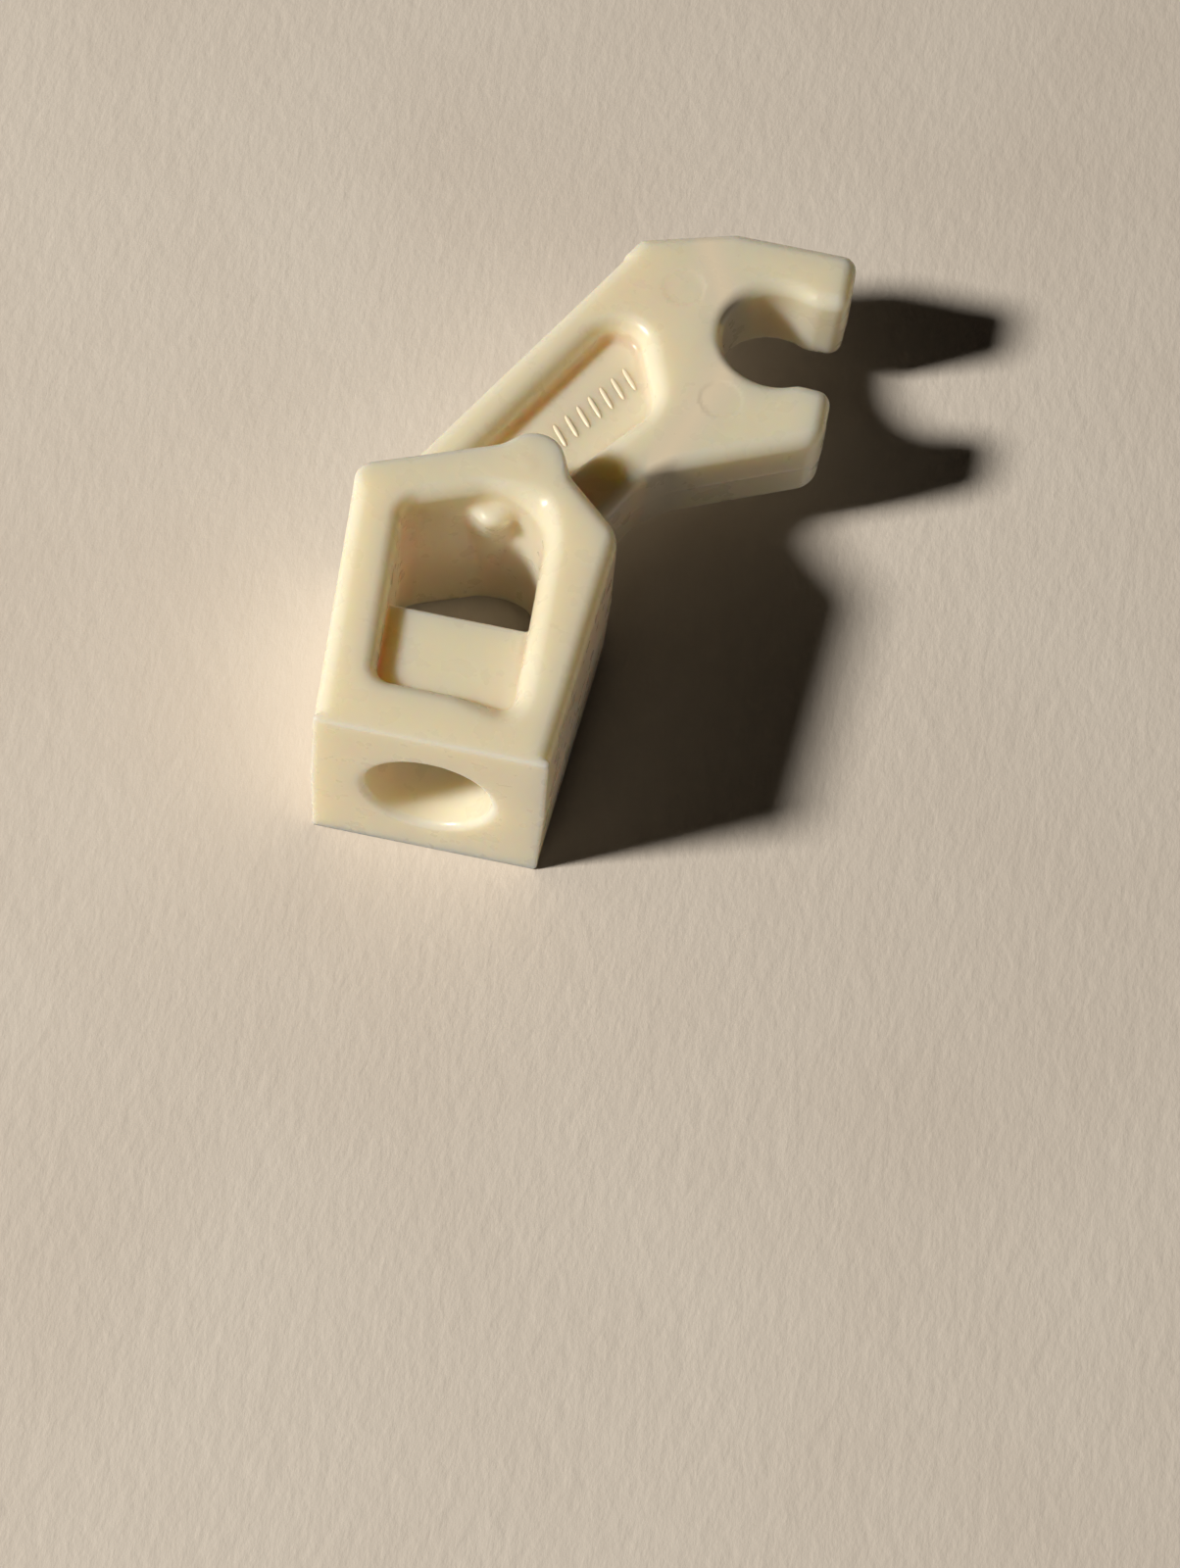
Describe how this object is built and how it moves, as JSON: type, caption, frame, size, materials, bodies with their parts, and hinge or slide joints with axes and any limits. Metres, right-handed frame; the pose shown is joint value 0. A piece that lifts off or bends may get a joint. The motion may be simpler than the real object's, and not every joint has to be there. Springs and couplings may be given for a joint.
{
  "type": "toy robot arm",
  "caption": "Bent toy robot arm in cream plastic: window-framed upper arm with a rod socket, recessed forearm and an open rod clip with two flexing jaws.",
  "frame": {"origin": "centre of the rod socket's mouth, on the end face of the upper arm", "axes": "+Y up the upper arm away from the socket's mouth, +X towards the open side of the clip, +Z out of the front face; z = 0 is halfway through its thickness"},
  "size_m": [0.0114, 0.0174, 0.0058],
  "materials": {
    "cream_abs": "injection-moulded ABS, cream white, smooth gloss with slightly rounded edges"
  },
  "bodies": {
    "arm": {"socket_block": "cream_abs", "outer_rail": "cream_abs", "inner_rail": "cream_abs", "elbow_bridge": "cream_abs", "elbow_brace": "cream_abs", "elbow_post": "cream_abs", "forearm_outer_rim": "cream_abs", "forearm_inner_rim": "cream_abs", "forearm_web": "cream_abs", "floor_ticks": "cream_abs", "clip_palm": "cream_abs"},
    "upper_jaw": {"upper_jaw": "cream_abs"},
    "lower_jaw": {"lower_jaw": "cream_abs"}
  },
  "joints": [
    {"name": "upper_jaw_flex", "type": "hinge", "parent": "arm", "child": "upper_jaw", "pos_m": [0.0046, 0.01745, 0], "axis": [0, 0, 1], "range_deg": [0, 9], "stiffness_Nm_per_rad": 0.1},
    {"name": "lower_jaw_flex", "type": "hinge", "parent": "arm", "child": "lower_jaw", "pos_m": [0.0045, 0.01006, 0], "axis": [0, 0, -1], "range_deg": [0, 9], "stiffness_Nm_per_rad": 0.1}
  ]
}
